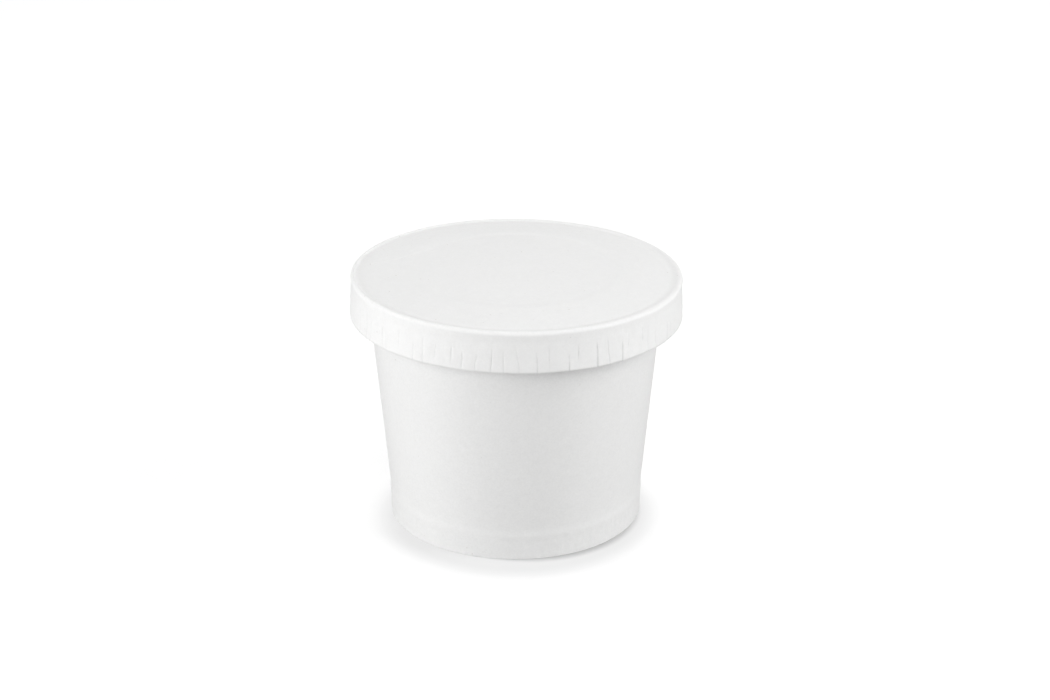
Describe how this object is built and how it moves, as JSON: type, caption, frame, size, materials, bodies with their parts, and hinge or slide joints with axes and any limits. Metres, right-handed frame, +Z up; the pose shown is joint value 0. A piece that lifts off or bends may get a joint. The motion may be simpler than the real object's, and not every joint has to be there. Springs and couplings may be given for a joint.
{
  "type": "paper sauce cup with lid",
  "caption": "Small tapered paper portion cup on a ribbed foot band, closed by a pressed paper lid with a rounded bead and a pleated skirt.",
  "frame": {"origin": "centre of the foot on the surface the cup stands on", "axes": "+Z up along the cup's axis; the wall's side seam faces +Y, away from the viewer in the picture"},
  "size_m": [0.076, 0.076, 0.0599],
  "materials": {
    "cup_paper": "matt coated white paper with fine grain",
    "lid_paper": "matt pressed white paperboard with fine grain"
  },
  "bodies": {
    "root": {"cup": "cup_paper", "lid": "lid_paper"}
  },
  "joints": []
}
